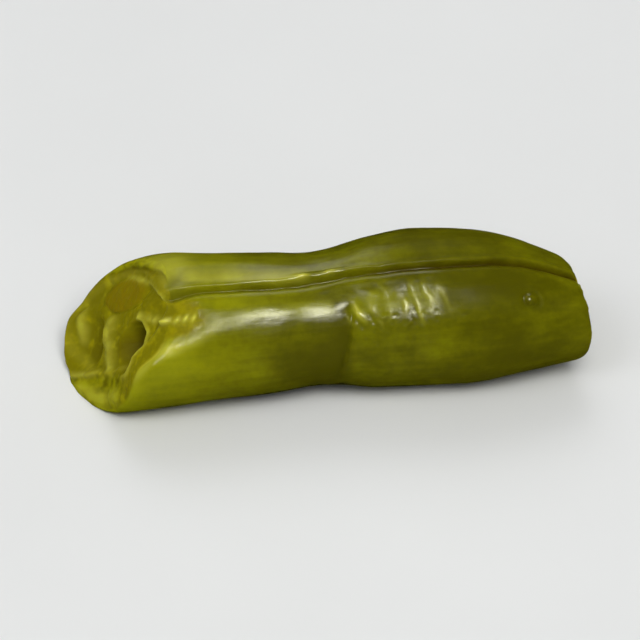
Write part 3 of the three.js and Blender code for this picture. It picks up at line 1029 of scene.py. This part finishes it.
def direction(azimuth, elevation):
    """From the bean towards a place at this azimuth and elevation; azimuth 0 is at the front."""
    return Vector((
        math.sin(azimuth) * math.cos(elevation), -math.cos(azimuth) * math.cos(elevation), math.sin(elevation)
    ))


def add_softbox(name, azimuth, elevation, away, size, power, colour):
    """A softbox that faces the bean, brightest in its middle and faded out at its edges."""
    towards = direction(math.radians(azimuth), math.radians(elevation))
    bpy.ops.object.light_add(type="AREA", location=Vector(AIM) + towards * away)
    lamp = bpy.context.object
    lamp.name = name
    lamp.data.shape = "RECTANGLE"
    lamp.data.size, lamp.data.size_y = size
    lamp.data.energy = power
    lamp.data.color = colour
    lamp.rotation_euler = towards.to_track_quat("Z", "Y").to_euler()
    lamp.visible_diffuse = name not in GLOSS_ONLY

    lamp.data.use_nodes = True
    tree = lamp.data.node_tree
    node = partial(add_node, tree)
    across = node("ShaderNodeNewGeometry", {}, {}, "Parametric")
    from_middle = node("ShaderNodeVectorMath", {"operation": "SUBTRACT"}, {0: across, 1: (0.5, 0.5, 0)})
    away_from = node("ShaderNodeVectorMath", {"operation": "LENGTH"}, {0: from_middle}, "Value")
    soft = {"interpolation_type": "SMOOTHSTEP"}
    glow = node(MAP_RANGE, soft, dict(zip(SPREAD, (away_from, 0.5, 0.08, 0.0, 1.0))))
    tree.links.new(glow, tree.nodes["Emission"].inputs["Strength"])


class BEAN_OT_stage(bpy.types.Operator):
    """Lay the floor and set the lights and the camera"""

    bl_idname = "bean.stage"
    bl_label = "Stage"

    def execute(self, context):
        settings = context.scene.bean_stage
        deselect_everything()
        bpy.ops.mesh.primitive_plane_add(size=FLOOR_SIZE, location=(0, 0, 0))
        floor = context.object
        floor.name = "floor"
        floor.data.materials.append(floor_material(tuple(settings.floor)))
        floor.visible_glossy = False

        for softbox in SOFTBOXES:
            add_softbox(*softbox)

        world = bpy.data.worlds.new("studio")
        context.scene.world = world
        world.use_nodes = True
        background = world.node_tree.nodes["Background"]
        background.inputs["Color"].default_value = (*WHITE, 1)
        background.inputs["Strength"].default_value = AMBIENT
        world.cycles_visibility.glossy = False

        towards = direction(settings.azimuth, settings.elevation)
        bpy.ops.object.camera_add(
            location=Vector(AIM) + towards * CAMERA_AWAY,
            rotation=towards.to_track_quat("Z", "Y").to_euler(),
        )
        camera = context.object
        camera.name = "camera"
        camera.data.sensor_width = SENSOR
        camera.data.lens = SENSOR * CAMERA_AWAY / settings.view_width
        context.scene.camera = camera
        context.scene.view_settings.view_transform = "Standard"
        return {"FINISHED"}


class BEAN_PT_panel(bpy.types.Panel):
    """Builds the bean piece by piece"""

    bl_label = "Green Bean"
    bl_idname = "BEAN_PT_panel"
    bl_space_type = "VIEW_3D"
    bl_region_type = "UI"
    bl_category = "Bean"

    def draw(self, context):
        layout = self.layout
        for title, group, operator in (
            ("Pod", "bean_shape", BEAN_OT_pod.bl_idname),
            ("Colours", "bean_colours", None),
            ("Stage", "bean_stage", BEAN_OT_stage.bl_idname),
        ):
            box = layout.box()
            box.label(text=title)
            settings = getattr(context.scene, group)
            for name in settings.bl_rna.properties.keys():
                if name not in ("rna_type", "name"):
                    box.prop(settings, name)
            if operator:
                box.operator(operator)


CLASSES = (BeanShape, BeanColours, BeanStage, BEAN_OT_pod, BEAN_OT_stage, BEAN_PT_panel)


def register():
    for item in CLASSES:
        bpy.utils.register_class(item)
    bpy.types.Scene.bean_shape = bpy.props.PointerProperty(type=BeanShape)
    bpy.types.Scene.bean_colours = bpy.props.PointerProperty(type=BeanColours)
    bpy.types.Scene.bean_stage = bpy.props.PointerProperty(type=BeanStage)


def unregister():
    for name in ("bean_shape", "bean_colours", "bean_stage"):
        delattr(bpy.types.Scene, name)
    for item in reversed(CLASSES):
        bpy.utils.unregister_class(item)


def main():
    register()
    bpy.ops.bean.pod()
    bpy.ops.bean.stage()


if __name__ == "__main__":
    main()
